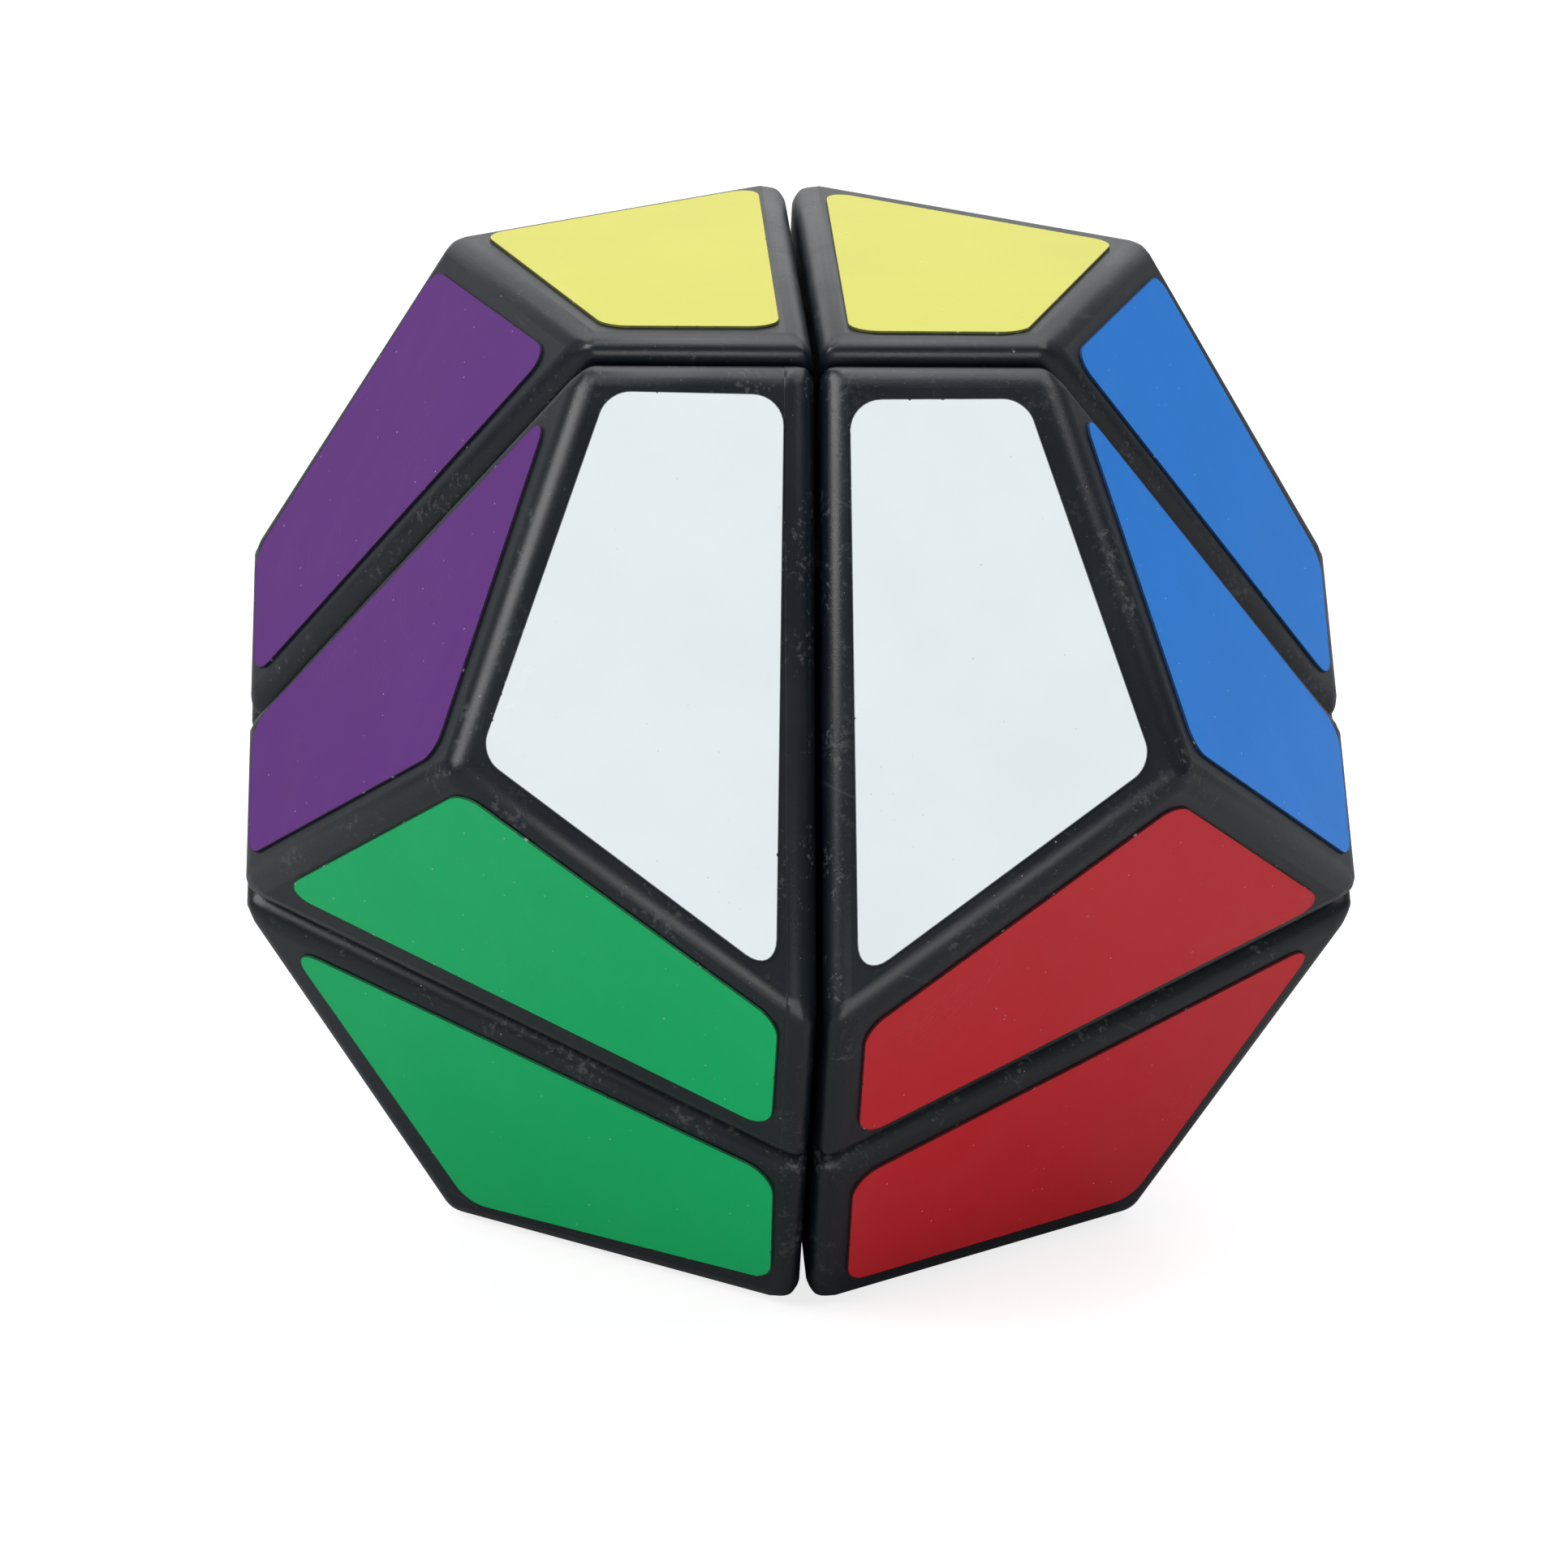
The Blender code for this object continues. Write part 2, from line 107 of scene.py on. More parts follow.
def ramp(tree, value, low, high, lowOut=0.0, highOut=1.0):
    # a smooth step from lowOut to highOut
    inputs = {"Value": value, "From Min": low, "From Max": high}
    inputs.update({"To Min": lowOut, "To Max": highOut})
    return addNode(tree, "ShaderNodeMapRange", inputs, interpolation_type="SMOOTHSTEP").outputs[0]


def mixColour(tree, factor, first, second):
    node = addNode(tree, "ShaderNodeMix", data_type="RGBA")
    # the colour sockets come after those for numbers and vectors
    for key, value in ((0, factor), (6, first), (7, second)):
        feed(tree, node.inputs[key], value)
    return node.outputs[2]


def newGroup(name, inputs, outputs):
    group = bpy.data.node_groups.new(name, "ShaderNodeTree")
    for label, kind, value in inputs:
        socket = group.interface.new_socket(label, in_out="INPUT", socket_type=kind)
        if value is not None:
            socket.default_value = value
    for label, kind in outputs:
        group.interface.new_socket(label, in_out="OUTPUT", socket_type=kind)
    groupIn = group.nodes.new("NodeGroupInput")
    groupOut = group.nodes.new("NodeGroupOutput")
    return group, groupIn.outputs, groupOut.inputs


def noise(tree, vector, scale, detail=2.0, roughness=0.5, distortion=0.0):
    inputs = {"Vector": vector, "Scale": scale, "Detail": detail}
    inputs.update({"Roughness": roughness, "Distortion": distortion})
    return addNode(tree, "ShaderNodeTexNoise", inputs).outputs["Fac"]


speckShape = {"smallest": 0.35, "edge": 2.5}


def dustGroup():
    # sparse specks: a cell of the pattern holds one only where its own random value is low
    group, source, result = newGroup(
        "dustSpecks",
        [
            ("Vector", "NodeSocketVector", None),
            ("Cells", "NodeSocketFloat", 700.0),
            ("Share", "NodeSocketFloat", 0.06),
            ("Size", "NodeSocketFloat", 0.10),
        ],
        [("Mask", "NodeSocketFloat")],
    )
    inputs = {"Vector": source["Vector"], "Scale": source["Cells"]}
    cell = addNode(group, "ShaderNodeTexVoronoi", inputs).outputs
    pick = addNode(group, "ShaderNodeSeparateColor", {"Color": cell["Color"]}).outputs
    chosen = mathNode(group, "LESS_THAN", pick[0], source["Share"])
    size = times(group, source["Size"], plus(group, pick[1], speckShape["smallest"]))
    fromMiddle = mathNode(group, "DIVIDE", cell["Distance"], size)
    inside = mathNode(group, "SUBTRACT", 1.0, fromMiddle, clamp=True)
    soft = times(group, inside, speckShape["edge"], clamp=True)
    group.links.new(times(group, soft, chosen), result["Mask"])
    return group


scratchShape = {"bend": 3.5, "bendScale": 0.7, "patchScale": 160.0, "patchEdge": 0.06}


def scratchGroup():
    # short hairlines: bent thin bands, kept only in patches
    group, source, result = newGroup(
        "hairlineScratches",
        [
            ("Vector", "NodeSocketVector", None),
            ("Turn", "NodeSocketVector", None),
            ("Spacing", "NodeSocketFloat", 90.0),
            ("Thinness", "NodeSocketFloat", 0.992),
            ("Patches", "NodeSocketFloat", 0.60),
        ],
        [("Mask", "NodeSocketFloat")],
    )
    inputs = {"Vector": source["Vector"], "Rotation": source["Turn"]}
    turned = addNode(group, "ShaderNodeMapping", inputs).outputs[0]
    inputs = {"Vector": turned, "Scale": source["Spacing"], "Detail": 1.0}
    inputs.update({"Distortion": scratchShape["bend"], "Detail Scale": scratchShape["bendScale"]})
    bands = addNode(group, "ShaderNodeTexWave", inputs, wave_profile="SIN").outputs["Fac"]
    line = ramp(group, bands, source["Thinness"], 1.0)
    patch = noise(group, turned, scratchShape["patchScale"], detail=1.0)
    low = source["Patches"]
    kept = ramp(group, patch, low, plus(group, low, scratchShape["patchEdge"]))
    group.links.new(times(group, line, kept), result["Mask"])
    return group


def smudgeGroup():
    # cloudy patches, as handling leaves
    group, source, result = newGroup(
        "smudges",
        [
            ("Vector", "NodeSocketVector", None),
            ("Scale", "NodeSocketFloat", 70.0),
            ("Low", "NodeSocketFloat", 0.45),
            ("High", "NodeSocketFloat", 0.70),
        ],
        [("Mask", "NodeSocketFloat")],
    )
    vector, scale = source["Vector"], source["Scale"]
    cloud = noise(group, vector, scale, detail=5.0, roughness=0.62, distortion=0.6)
    group.links.new(ramp(group, cloud, source["Low"], source["High"]), result["Mask"])
    return group


wearShape = {"fine": 0.6, "broad": 0.4, "broadScale": 240.0, "edge": 0.07}


def wearGroup():
    # scuffs along rounded edges: the piece's "rounding" attribute broken up by noise
    group, source, result = newGroup(
        "edgeWear",
        [
            ("Vector", "NodeSocketVector", None),
            ("Scale", "NodeSocketFloat", 2200.0),
            ("Cover", "NodeSocketFloat", 0.56),
        ],
        [("Mask", "NodeSocketFloat")],
    )
    rounding = addNode(group, "ShaderNodeAttribute", attribute_name="rounding").outputs["Fac"]
    fine = noise(group, source["Vector"], source["Scale"], detail=3.0, roughness=0.7)
    broad = noise(group, source["Vector"], wearShape["broadScale"], detail=2.0)
    fine = times(group, fine, wearShape["fine"])
    both = plus(group, fine, times(group, broad, wearShape["broad"]))
    low = source["Cover"]
    scuff = ramp(group, both, low, plus(group, low, wearShape["edge"]))
    group.links.new(times(group, scuff, rounding), result["Mask"])
    return group


effects = {
    "dust": dustGroup(),
    "scratches": scratchGroup(),
    "smudges": smudgeGroup(),
    "wear": wearGroup(),
}
print("effects:", ", ".join(effects))


def mask(tree, effect, vector, values=None):
    node = tree.nodes.new("ShaderNodeGroup")
    node.node_tree = effects[effect]
    for key, value in {"Vector": vector, **(values or {})}.items():
        feed(tree, node.inputs[key], value)
    return node.outputs["Mask"]


def newMaterial(name):
    material = bpy.data.materials.new(name)
    material.use_nodes = True
    tree = material.node_tree
    shader = tree.nodes["Principled BSDF"]
    vector = addNode(tree, "ShaderNodeTexCoord").outputs["Object"]
    return material, tree, shader, vector


def addBump(tree, shader, height, depth, strength=1.0):
    inputs = {"Strength": strength, "Distance": depth, "Height": height}
    bump = addNode(tree, "ShaderNodeBump", inputs)
    tree.links.new(bump.outputs[0], shader.inputs["Normal"])


mouldedPlastic = {
    "colour": (0.0026, 0.0064, 0.0108, 1),
    "paler": (0.0048, 0.0092, 0.0138, 1),
    "scuffed": (0.075, 0.082, 0.084, 1),
    "dust": (0.42, 0.42, 0.40, 1),
    "roughness": 0.28,
    "grainSize": 0.16 * mm,
    "grainDepth": 0.014 * mm,
}
corePlastic = {
    "colour": (0.60, 0.58, 0.51, 1),
    "paler": (0.68, 0.66, 0.60, 1),
    "scuffed": (0.45, 0.43, 0.38, 1),
    "dust": (0.12, 0.12, 0.12, 1),
    "roughness": 0.40,
    "grainSize": 0.25 * mm,
    "grainDepth": 0.010 * mm,
}
plasticMarks = {
    "clouds": {"Scale": 95.0, "Low": 0.35, "High": 0.75},
    "dust": {"Cells": 1300.0, "Share": 0.16, "Size": 0.07},
    "lint": {"Cells": 3000.0, "Share": 0.10, "Size": 0.12},
    "scratches": {"Turn": (0.5, 1.1, 0.3), "Spacing": 75.0, "Patches": 0.62},
}
# how strongly each mark colours the plastic, and how much rougher each makes it
plasticTints = {"clouds": 0.6, "scuffs": 0.55, "scratches": 0.20, "dust": 0.8, "lint": 0.30}
plasticRoughness = {"clouds": 0.07, "grain": 0.06, "scuffs": 0.25}
scuffScale = 7000.0
grainStrength = 0.7


def makePlastic(name, look, wear=1.0):
    material, tree, shader, vector = newMaterial(name)
    grain = noise(tree, vector, 1 / look["grainSize"], detail=3.0, roughness=0.65)
    cloud = mask(tree, "smudges", vector, plasticMarks["clouds"])
    worn = times(tree, mask(tree, "wear", vector), plasticTints["scuffs"] * wear, clamp=True)
    dust = mask(tree, "dust", vector, plasticMarks["dust"])
    lint = mask(tree, "dust", vector, plasticMarks["lint"])
    lines = mask(tree, "scratches", vector, plasticMarks["scratches"])
    clouded = times(tree, cloud, plasticTints["clouds"])
    scratched = times(tree, lines, plasticTints["scratches"] * wear)
    dusted = times(tree, dust, plasticTints["dust"] * wear)
    linted = times(tree, lint, plasticTints["lint"] * wear)
    body = mixColour(tree, clouded, look["colour"], look["paler"])
    body = mixColour(tree, worn, body, look["scuffed"])
    body = mixColour(tree, scratched, body, look["scuffed"])
    body = mixColour(tree, mathNode(tree, "MAXIMUM", dusted, linted), body, look["dust"])
    tree.links.new(body, shader.inputs["Base Color"])
    rough = plus(tree, look["roughness"], times(tree, cloud, plasticRoughness["clouds"]))
    rough = plus(tree, rough, times(tree, grain, plasticRoughness["grain"]))
    rough = plus(tree, rough, times(tree, worn, plasticRoughness["scuffs"]), clamp=True)
    tree.links.new(rough, shader.inputs["Roughness"])
    # scuffs stand a little rough over the moulded grain
    height = plus(tree, grain, times(tree, worn, noise(tree, vector, scuffScale)))
    addBump(tree, shader, height, look["grainDepth"], grainStrength)
    return material


vinylColours = {
    "white": (0.77, 0.83, 0.865),
    "yellow": (0.57, 0.555, 0.046),
    "cream": (0.84, 0.78, 0.58),
    "grey": (0.30, 0.32, 0.34),
    "green": (0.001, 0.54, 0.165),
    "red": (0.74, 0.020, 0.032),
    "light_green": (0.30, 0.62, 0.12),
    "orange": (0.85, 0.22, 0.03),
    "purple": (0.098, 0.011, 0.190),
    "blue": (0.001, 0.222, 0.80),
    "pink": (0.78, 0.24, 0.40),
    "light_blue": (0.10, 0.46, 0.66),
}
vinylFinish = {
    "deeper": 0.90,
    "hazeShare": 0.80,
    "hazeAdded": 0.14,
    "gloss": 0.25,
    "roughness": 0.26,
    "smudged": 0.28,
    "rippleSize": 3.2 * mm,
    "rippleDepth": 0.0015 * mm,
    "peelSize": 0.22 * mm,
    "peelDepth": 0.0004 * mm,
}
vinylMarks = {
    "clouds": 130.0,
    "smudges": {"Scale": 55.0, "Low": 0.50, "High": 0.74},
    "dust": {"Cells": 1500.0, "Share": 0.22, "Size": 0.075},
    "scratches": {"Turn": (0.2, 0.9, 0.7), "Spacing": 70.0, "Thinness": 0.997, "Patches": 0.68},
    "streaks": {"scale": 260.0, "stretch": (1.0, 1.0, 0.15), "low": 0.52, "high": 0.80},
}
vinylTints = {"smudges": 0.03, "streaks": 0.035, "scratches": 0.05, "dust": 0.7}
paleDust = (0.80, 0.80, 0.78, 1)
darkDust = (0.42, 0.40, 0.34, 1)
# a film paler than this, its three values added up, shows dust as dark specks
paleFilm = 1.6


def makeVinyl(name, colour, look):
    material, tree, shader, vector = newMaterial(name)
    shader.inputs["Specular IOR Level"].default_value = look["gloss"]
    base = (*colour, 1)
    deeper = (*[c * look["deeper"] for c in colour], 1)
    hazy = (*[c * look["hazeShare"] + look["hazeAdded"] for c in colour], 1)
    dusty = paleDust if sum(colour) < paleFilm else darkDust
    cloud = noise(tree, vector, vinylMarks["clouds"], detail=3.0)
    smudge = mask(tree, "smudges", vector, vinylMarks["smudges"])
    dust = mask(tree, "dust", vector, vinylMarks["dust"])
    lines = mask(tree, "scratches", vector, vinylMarks["scratches"])
    streak = vinylMarks["streaks"]
    inputs = {"Vector": vector, "Scale": streak["stretch"]}
    upright = addNode(tree, "ShaderNodeMapping", inputs).outputs[0]
    streaks = noise(tree, upright, streak["scale"], detail=3.0)
    streaks = ramp(tree, streaks, streak["low"], streak["high"])
    tint = mixColour(tree, cloud, base, deeper)
    for marks, kind in ((smudge, "smudges"), (streaks, "streaks"), (lines, "scratches")):
        tint = mixColour(tree, times(tree, marks, vinylTints[kind]), tint, hazy)
    tint = mixColour(tree, times(tree, dust, vinylTints["dust"]), tint, dusty)
    tree.links.new(tint, shader.inputs["Base Color"])
    hazed = times(tree, smudge, look["smudged"] - look["roughness"])
    tree.links.new(plus(tree, look["roughness"], hazed), shader.inputs["Roughness"])
    ripple = noise(tree, vector, 1 / look["rippleSize"], detail=1.0)
    peel = noise(tree, vector, 1 / look["peelSize"], detail=2.0)
    ripple = times(tree, ripple, look["rippleDepth"])
    peel = times(tree, peel, look["peelDepth"])
    addBump(tree, shader, plus(tree, ripple, peel), 1.0)
    return material


filmEdge = {
    "mottleScale": 1500.0,
    "dark": 0.10,
    # a share of the film's colour for the painted glints along the edge
    "paintedGlint": 0.30,
    "crumbs": {"Cells": 1500.0, "Share": 0.30, "Size": 0.20},
    "crumbColour": (0.62, 0.60, 0.56, 1),
    "crumbTint": 0.6,
    "roughness": 0.5,
    "rougher": 0.2,
}


def makeVinylEdge(name, colour, look):
    # the cut edge of the film and a thin band round its top, much darker than the film, mottled by
    # noise with paler painted glints and pale crumbs of dirt
    material, tree, shader, vector = newMaterial(name)
    edgeMottle = noise(tree, vector, look["mottleScale"], detail=2.0)
    dark = (*[c * look["dark"] for c in colour], 1)
    paintedGlint = (*[c * look["paintedGlint"] for c in colour], 1)
    crumbs = times(tree, mask(tree, "dust", vector, look["crumbs"]), look["crumbTint"])
    # noise mixes the dark edge with paler painted glints
    tint = mixColour(tree, edgeMottle, dark, paintedGlint)
    tint = mixColour(tree, crumbs, tint, look["crumbColour"])
    tree.links.new(tint, shader.inputs["Base Color"])
    rough = plus(tree, look["roughness"], times(tree, edgeMottle, look["rougher"]))
    tree.links.new(rough, shader.inputs["Roughness"])
    return material


springSteel = {
    "colour": (0.60, 0.60, 0.61, 1),
    "dulled": (0.44, 0.43, 0.42, 1),
    "cloudScale": 300.0,
    "brushScale": 2500.0,
    "brushStretch": (1.0, 1.0, 12.0),
    "brushDepth": 0.01 * mm,
    "brushStrength": 0.3,
    "roughness": 0.22,
    "rougher": 0.2,
}


def makeSteel(name, look):
    material, tree, shader, vector = newMaterial(name)
    inputs = {"Vector": vector, "Scale": look["brushStretch"]}
    stretched = addNode(tree, "ShaderNodeMapping", inputs).outputs[0]
    brushed = noise(tree, stretched, look["brushScale"], detail=2.0)
    cloud = mask(tree, "smudges", vector, {"Scale": look["cloudScale"]})
    tint = mixColour(tree, cloud, look["colour"], look["dulled"])
    tree.links.new(tint, shader.inputs["Base Color"])
    shader.inputs["Metallic"].default_value = 1.0
    rough = plus(tree, look["roughness"], times(tree, brushed, look["rougher"]))
    tree.links.new(rough, shader.inputs["Roughness"])
    addBump(tree, shader, brushed, look["brushDepth"], look["brushStrength"])
    return material


lightWear = 0.3
blackPlastic = makePlastic("blackPlastic", mouldedPlastic)
hiddenLook = dict(mouldedPlastic, roughness=0.30)
hiddenPlastic = makePlastic("hiddenBlackPlastic", hiddenLook, lightWear)
ivoryPlastic = makePlastic("ivoryPlastic", corePlastic, lightWear)
steel = makeSteel("springSteel", springSteel)
vinyls = {}
vinylEdges = {}
for filmName, filmColour in vinylColours.items():
    vinyls[filmName] = makeVinyl(f"vinyl_{filmName}", filmColour, vinylFinish)
    vinylEdges[filmName] = makeVinylEdge(f"vinylEdge_{filmName}", filmColour, filmEdge)
print("materials:", len(bpy.data.materials))


cornerShape = {
    "halfGap": 0.2 * mm,
    "wall": 1.8 * mm,
    "ridgeRadius": 2.0 * mm,
    "cutRadius": 1.8 * mm,
    "leanRadius": 1.5 * mm,
    "axisRadius": 0.7 * mm,
    "leanAngle": 75,
    "segments": 8,
    "mechanismRadius": 20.2 * mm,
}
stickerShape = {
    "thickness": 0.15 * mm,
    "glue": 0.02 * mm,
    "fromRidge": 2.04 * mm,
    "fromCut": 2.10 * mm,
    "fromLean": 3.13 * mm,
    "corner": 2.1 * mm,
    "tip": 1.3 * mm,
    "tipAngle": 60,
    "steps": 8,
    "edge": 0.05 * mm,
}
# one over the golden ratio, which sets how the faces lean
slope = 2 / (1 + math.sqrt(5))
faceNormals = [Vector(n).normalized() for n in ((0, 1, slope), (slope, 0, 1), (1, slope, 0))]
axisNormals = [Vector((1, 0, 0)), Vector((0, 1, 0)), Vector((0, 0, 1))]
# turns the corner about its diagonal, onto its next face
nextFace = Matrix(((0, 0, 1, 0), (1, 0, 0, 0), (0, 1, 0, 0), (0, 0, 0, 1)))
# the puzzle stands on a face, so its centre is the inradius and one sticker above the floor
inradius = puzzleCentre.z - stickerShape["thickness"] - stickerShape["glue"]
cubeHalf = inradius * math.sqrt(1 + slope ** 2) / (1 + slope)


def cutAway(bm, point, normal, fill=True):
    geometry = bm.verts[:] + bm.edges[:] + bm.faces[:]
    plane = {"plane_co": point, "plane_no": normal, "clear_outer": True}
    cut = bmesh.ops.bisect_plane(bm, geom=geometry, **plane)
    if fill:
        edges = [part for part in cut["geom_cut"] if isinstance(part, bmesh.types.BMEdge)]
        bmesh.ops.holes_fill(bm, edges=edges)


def octant(cutInset, faceInset):
    bm = bmesh.new()
    size = 2 * cubeHalf
    bmesh.ops.create_cube(bm, size=size)
    bmesh.ops.translate(bm, verts=bm.verts, vec=[size / 2 + cutInset] * 3)
    for normal in faceNormals:
        cutAway(bm, normal * (inradius - faceInset), normal)
    return bm


def setback(radius, angle):
    # how far a rounding reaches from a sharp edge of this inside angle
    return radius / math.tan(angle / 2)


def helper(name, bm):
    mesh = bpy.data.meshes.new(name)
    bmesh.ops.recalc_face_normals(bm, faces=bm.faces)
    bm.to_mesh(mesh)
    bm.free()
    item = bpy.data.objects.new(name, mesh)
    bpy.context.scene.collection.objects.link(item)
    return item


def evaluated(item):
    bpy.context.view_layer.update()
    graph = bpy.context.evaluated_depsgraph_get()
    return bpy.data.meshes.new_from_object(item.evaluated_get(graph))


def roundedOctant():
    bm = octant(cornerShape["halfGap"], 0)
    bm.normal_update()
    weight = bm.edges.layers.float.new("bevel_weight_edge")
    widths = {}
    for edge in bm.edges:
        # how many of the edge's two faces are cuts, which look straight down an axis
        cutFaces = sum(min(face.normal) < -0.99 for face in edge.link_faces)
        angle = math.pi - edge.calc_face_angle()
        lean = angle < math.radians(cornerShape["leanAngle"])
        atCut = "leanRadius" if lean else "cutRadius"
        radius = cornerShape[("ridgeRadius", atCut, "axisRadius")[cutFaces]]
        widths[edge] = setback(radius, angle)
    widest = max(widths.values())
    for edge, width in widths.items():
        edge[weight] = width / widest
    item = helper("roundedOctant", bm)
    bevel = item.modifiers.new("rounding", "BEVEL")
    bevel.limit_method = "WEIGHT"
    bevel.width = widest
    bevel.segments = cornerShape["segments"]
    return item


def capMesh():
    cap = roundedOctant()
    wall = cornerShape["wall"]
    hollow = helper("hollow", octant(cornerShape["halfGap"] + wall, wall))
    ball = bmesh.new()
    radius = cornerShape["mechanismRadius"]
    bmesh.ops.create_uvsphere(ball, u_segments=96, v_segments=48, radius=radius)
    back = helper("back", ball)
    for cutter in (hollow, back):
        modifier = cap.modifiers.new("cut", "BOOLEAN")
        modifier.operation = "DIFFERENCE"
        modifier.solver = "EXACT"
        modifier.object = cutter
    mesh = evaluated(cap)
    for item in (cap, hollow, back):
        bpy.data.objects.remove(item, do_unlink=True)
    return mesh


# degrees from the nearest flat at which a surface counts as flat, and as fully rounded
roundingAngles = {"flat": 0.5, "full": 26}
roundedBeyond = cornerShape["mechanismRadius"] + 3 * mm


def markRounding(bm):
    # how far each point's surface is turned from the nearest flat:
    # 0 on a flat, 1 in the middle of a rounding
    layer = bm.verts.layers.float.new("rounding")
    flats = faceNormals + [-axis for axis in axisNormals]
    flat, full = (math.radians(roundingAngles[key]) for key in ("flat", "full"))
    bm.normal_update()
    for vert in bm.verts:
        turned = min(vert.normal.angle(normal, 0) for normal in flats)
        vert[layer] = min(turned / full, 1) if vert.co.length > roundedBeyond else 0
    for face in bm.faces:
        face.smooth = min(face.normal.angle(normal, 0) for normal in flats) > flat


partingGroove = {"corner": (-1, 1, 1), "offset": 2.25 * mm, "width": 0.12 * mm, "depth": 0.05 * mm}


def partingLine(bm):
    # a hairline groove where two halves of the moulding meet, beside the cut on x
    offset, width = partingGroove["offset"], partingGroove["width"]
    for shift in (-width / 2, 0, width / 2):
        geometry = bm.verts[:] + bm.edges[:] + bm.faces[:]
        plane = {"plane_co": (offset + shift, 0, 0), "plane_no": (1, 0, 0)}
        bmesh.ops.bisect_plane(bm, geom=geometry, **plane)
    bm.normal_update()
    for vert in bm.verts:
        outward = vert.normal.dot(vert.co) > 0.5 * vert.co.length
        if outward and abs(vert.co.x - offset) < width / 8:
            vert.co -= vert.normal * partingGroove["depth"]


def octantTo(signs):
    return toWorld @ Matrix.Diagonal((*signs, 1))


def finishPiece(bm, name, signs, materials):
    bmesh.ops.transform(bm, matrix=octantTo(signs), verts=bm.verts)
    if math.prod(signs) < 0:
        bmesh.ops.reverse_faces(bm, faces=bm.faces)
    mesh = bpy.data.meshes.new(name)
    bm.to_mesh(mesh)
    bm.free()
    for material in materials:
        mesh.materials.append(material)
    item = bpy.data.objects.new(name, mesh)
    bpy.context.scene.collection.objects.link(item)
    return item


def standFor(item, node):
    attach(item, frame["nodes"][node]["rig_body"])
    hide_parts(node)


def cornerName(signs):
    across, height, depth = (sides[i][signs[i]] for i in range(3))
    return f"{height}_{depth}_{across}"


def makeCaps():
    plain = capMesh()
    for signs in corners:
        bm = bmesh.new()
        bm.from_mesh(plain)
        if signs == partingGroove["corner"]:
            partingLine(bm)
        markRounding(bm)
        name = cornerName(signs)
        cap = finishPiece(bm, f"cornerCap_{name}", signs, [blackPlastic])
        standFor(cap, f"cap_{name}")
    print("caps:", len(corners), "of", len(plain.polygons), "faces")


makeCaps()


# how far off its place each sticker in front was put, in mm to the right and up,
# and how far it was turned, in degrees
stickerNudges = {
    "white_left": (0.2, 0.1, 1.0),
    "white_right": (-0.1, -0.3, 0.5),
    "yellow_left": (0.0, -0.4, 0.0),
    "yellow_right": (0.0, 0.7, 0.3),
    "purple_front": (-0.2, 0.6, 0.5),
    "purple_back": (0.2, 0.6, 1.0),
    "blue_front": (-0.2, 0.3, -0.4),
    "blue_back": (-0.3, 0.1, 1.0),
    "green_upper": (1.1, 0.2, 0.4),
    "green_lower": (-0.5, 0.7, 1.2),
    "red_upper": (-0.1, -0.1, 0.0),
    "red_lower": (0.0, 0.0, -0.4),
}
# the most by which the other stickers are off, either way
slightNudge = (0.1, 0.1, 0.3)
stickerSeed = 12
# the nicks' half widths and depths are in mm, and their places are shares of a side
filmNicks = {
    "count": (3, 6),
    "longSide": 2 * mm,
    "place": (0.15, 0.85),
    "half": (0.06, 0.16),
    "depth": (0.03, 0.09),
    "turnedIn": 0.7,
}


def stickerOutline(index):
    # the film's outline on the corner's first face: cut back from each edge, its corners rounded
    face = faceNormals[0]
    seat = face * (inradius + stickerShape["glue"])
    bm = bmesh.new()
    bmesh.ops.create_grid(bm, x_segments=1, y_segments=1, size=2 * cubeHalf)
    turn = Vector((0, 0, 1)).rotation_difference(face).to_matrix()
    bmesh.ops.rotate(bm, verts=bm.verts, cent=(0, 0, 0), matrix=turn)
    bmesh.ops.translate(bm, verts=bm.verts, vec=seat)
    borders = [(other, inradius, "fromRidge") for other in faceNormals[1:]]
    borders.append((-axisNormals[0], -cornerShape["halfGap"], "fromCut"))
    borders.append((-axisNormals[2], -cornerShape["halfGap"], "fromLean"))
    for normal, offset, inset in borders:
        outward = (normal - face * face.dot(normal)).normalized()
        toEdge = (offset - inradius * face.dot(normal)) / normal.dot(outward)
        cutAway(bm, seat + outward * (toEdge - stickerShape[inset]), outward, fill=False)
    angles = [(loop.vert, loop.calc_angle()) for loop in bm.faces[:][0].loops]
    for vert, angle in angles:
        sharp = angle < math.radians(stickerShape["tipAngle"])
        reach = setback(stickerShape["tip" if sharp else "corner"], angle)
        rounding = {"affect": "VERTICES", "segments": stickerShape["steps"]}
        bmesh.ops.bevel(bm, geom=[vert], offset=reach, profile=0.5, material=-1, **rounding)
    return bm, face


def nickEdges(bm, face, rng):
    # small tears that a knife leaves on the film's straight sides
    for _ in range(rng.randint(*filmNicks["count"])):
        longSides = [side for side in bm.edges if side.calc_length() > filmNicks["longSide"]]
        edge = rng.choice(longSides)
        spot = rng.uniform(*filmNicks["place"])
        half = rng.uniform(*filmNicks["half"]) * mm / edge.calc_length()
        start, end = edge.verts[0].co.copy(), edge.verts[1].co.copy()
        along = end - start
        way = rng.choice((-1, 1, 1))
        inward = face.cross(along).normalized() * way * rng.uniform(*filmNicks["depth"]) * mm
        middle = bm.faces[:][0].calc_center_median()
        if inward.dot(middle - start) < 0 and rng.random() < filmNicks["turnedIn"]:
            inward.negate()
        cuts = bmesh.ops.subdivide_edges(bm, edges=[edge], cuts=3)
        points = [part for part in cuts["geom_inner"] if isinstance(part, bmesh.types.BMVert)]
        points.sort(key=lambda vert: (vert.co - start).length)
        for vert, shift, share in zip(points, (-half, 0, half), (0, 1, 0)):
            vert.co = start + along * (spot + shift) + inward * share


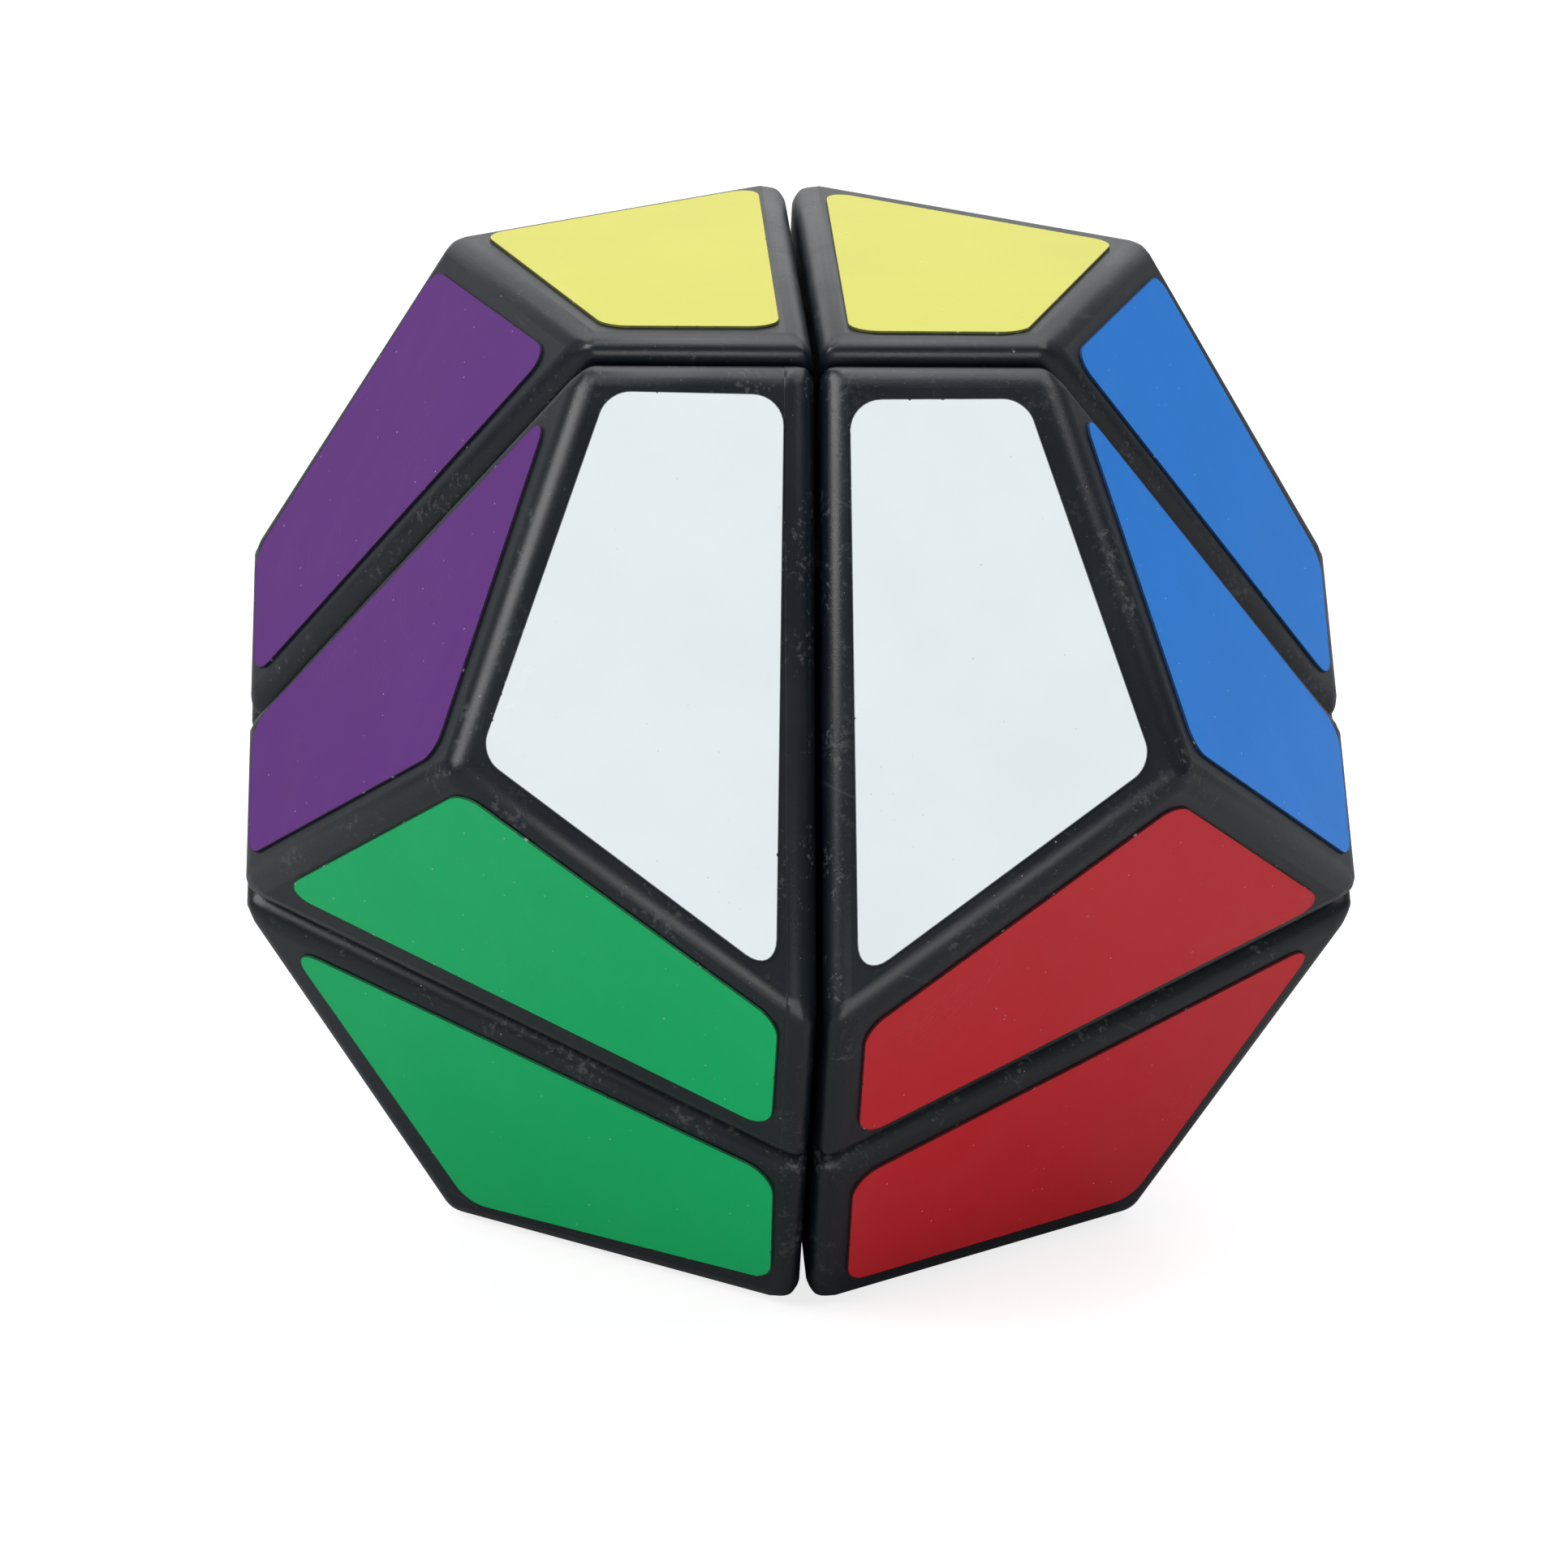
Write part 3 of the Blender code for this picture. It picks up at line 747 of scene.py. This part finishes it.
def makeSticker(signs, index, rng):
    first, second = (signs[i] for i in range(3) if i != index)
    colour = faceColours[index][first, second]
    name = f"{colour}_{sides[index][signs[index]]}"
    bm, face = stickerOutline(index)
    nickEdges(bm, face, rng)
    middle = bm.faces[:][0].calc_center_median()
    slight = [rng.uniform(-most, most) for most in slightNudge]
    right, up, degrees = stickerNudges.get(name, slight)
    spin = Matrix.Rotation(math.radians(degrees), 3, face)
    bmesh.ops.rotate(bm, verts=bm.verts, cent=middle, matrix=spin)
    upward = face.cross(Vector((1, 0, 0)))
    bmesh.ops.translate(bm, verts=bm.verts, vec=(Vector((1, 0, 0)) * right + upward * up) * mm)
    # give the film its thickness, then set off a narrow band as its cut edge
    made = bmesh.ops.extrude_face_region(bm, geom=bm.faces[:])
    lifted = [part for part in made["geom"] if isinstance(part, bmesh.types.BMVert)]
    bmesh.ops.translate(bm, verts=lifted, vec=face * stickerShape["thickness"])
    bmesh.ops.recalc_face_normals(bm, faces=bm.faces)
    top = [part for part in bm.faces if part.normal.dot(face) > 0.9][0]
    bmesh.ops.inset_region(bm, faces=[top], thickness=stickerShape["edge"], depth=0)
    for part in bm.faces:
        part.material_index = 0 if part == top else 1
    for _ in range(index):
        bmesh.ops.transform(bm, matrix=nextFace, verts=bm.verts)
    films = [vinyls[colour], vinylEdges[colour]]
    item = finishPiece(bm, f"sticker_film_{name}", signs, films)
    standFor(item, f"sticker_{name}")


def makeStickers():
    rng = random.Random(stickerSeed)
    for signs in corners:
        for index in range(3):
            makeSticker(signs, index, rng)
    print("stickers:", 3 * len(corners))


makeStickers()


insideFinishes = {
    "stalk_": hiddenPlastic,
    "plug_": hiddenPlastic,
    "edge_": hiddenPlastic,
    "centre_": hiddenPlastic,
    "core": ivoryPlastic,
    "screw_": steel,
    "spring_": steel,
}


def finishInside():
    for name, node in frame["nodes"].items():
        for start, material in insideFinishes.items():
            if name.startswith(start):
                node.data.materials.clear()
                node.data.materials.append(material)


finishInside()
print("inside pieces finished")


# "seen" is how much brighter the floor looks to the camera than to the puzzle
floorLook = {"radius": 1.0, "grey": 0.34, "roughness": 0.9, "seen": 0.80}
white = (1.0, 1.0, 1.0, 1)


def makeFloor():
    bm = bmesh.new()
    bmesh.ops.create_circle(bm, cap_ends=True, segments=96, radius=floorLook["radius"])
    mesh = bpy.data.meshes.new("floor")
    bm.to_mesh(mesh)
    bm.free()
    floor = bpy.data.objects.new("floor", mesh)
    bpy.context.scene.collection.objects.link(floor)
    material, tree, shader = newMaterial("paleFloor")[:3]
    shader.inputs["Base Color"].default_value = (*[floorLook["grey"]] * 3, 1)
    shader.inputs["Roughness"].default_value = floorLook["roughness"]
    shader.inputs["Emission Color"].default_value = white
    seen = addNode(tree, "ShaderNodeLightPath").outputs["Is Camera Ray"]
    tree.links.new(times(tree, seen, floorLook["seen"]), shader.inputs["Emission Strength"])
    mesh.materials.append(material)


# soft boxes round the puzzle: degrees round from the front and up, metres away,
# width and height in metres, and brightness
studioLights = {
    "keyLeft": {"round": -68, "up": 40, "away": 1.1, "size": (0.65, 0.65), "brightness": 5.4},
    "rightHigh": {"round": 86, "up": 58, "away": 1.1, "size": (0.75, 0.75), "brightness": 2.4},
    "frontHigh": {"round": -15, "up": 70, "away": 1.2, "size": (0.65, 0.65), "brightness": 1.4},
    "overhead": {"round": 180, "up": 86, "away": 1.1, "size": (0.45, 0.8), "brightness": 3.0},
    "overheadRear": {"round": 180, "up": 55, "away": 1.1, "size": (1.5, 0.85), "brightness": 1.6},
    "behindLow": {"round": 180, "up": 12, "away": 1.35, "size": (1.3, 0.55), "brightness": 0.85},
    "rearLeft": {"round": -135, "up": 15, "away": 1.35, "size": (0.9, 0.7), "brightness": 0.30},
    "rearRight": {"round": 135, "up": 15, "away": 1.35, "size": (0.9, 0.7), "brightness": 0.12},
    "frontLow": {"round": 6, "up": 4, "away": 1.3, "size": (1.2, 0.35), "brightness": 4.4},
}
roomLight = {"room": 0.12, "backdrop": 1.0}


def towards(degreesRound, degreesUp):
    turn, rise = math.radians(degreesRound), math.radians(degreesUp)
    level = math.cos(rise)
    return Vector((math.sin(turn) * level, -math.cos(turn) * level, math.sin(rise)))


def makeLights():
    for name, light in studioLights.items():
        data = bpy.data.lights.new(name, "AREA")
        data.shape = "RECTANGLE"
        data.size, data.size_y = light["size"]
        data.energy = light["brightness"] * math.pi * data.size * data.size_y
        item = bpy.data.objects.new(name, data)
        outward = towards(light["round"], light["up"])
        item.location = puzzleCentre + outward * light["away"]
        item.rotation_euler = (-outward).to_track_quat("-Z", "Y").to_euler()
        item.visible_camera = False
        bpy.context.scene.collection.objects.link(item)
    world = bpy.context.scene.world or bpy.data.worlds.new("studio")
    bpy.context.scene.world = world
    world.use_nodes = True
    tree = world.node_tree
    seen = addNode(tree, "ShaderNodeLightPath").outputs["Is Camera Ray"]
    strength = ramp(tree, seen, 0.0, 1.0, roomLight["room"], roomLight["backdrop"])
    tree.nodes["Background"].inputs["Color"].default_value = white
    tree.links.new(strength, tree.nodes["Background"].inputs["Strength"])


viewPoint = {
    "azimuth": -2.80,
    "elevation": 18.15,
    "distance": 0.5,
    "aim": (-0.0008, -0.0012, -0.0037),
    "roll": 0.98,
    "lens": 163.8,
    "sensor": 36,
    "nearest": 0.05,
}


def makeCamera():
    outward = towards(viewPoint["azimuth"], viewPoint["elevation"])
    data = bpy.data.cameras.new("view")
    data.lens = viewPoint["lens"]
    data.sensor_width = viewPoint["sensor"]
    data.clip_start = viewPoint["nearest"]
    camera = bpy.data.objects.new("view", data)
    camera.location = puzzleCentre + outward * viewPoint["distance"]
    aim = puzzleCentre + Vector(viewPoint["aim"])
    look = (aim - camera.location).to_track_quat("-Z", "Y").to_matrix().to_4x4()
    roll = Matrix.Rotation(math.radians(viewPoint["roll"]), 4, "Z")
    camera.rotation_euler = (look @ roll).to_euler()
    bpy.context.scene.collection.objects.link(camera)
    bpy.context.scene.camera = camera


makeFloor()
makeLights()
makeCamera()
bpy.context.scene.view_settings.view_transform = "Standard"
print("floor, lights and camera placed")
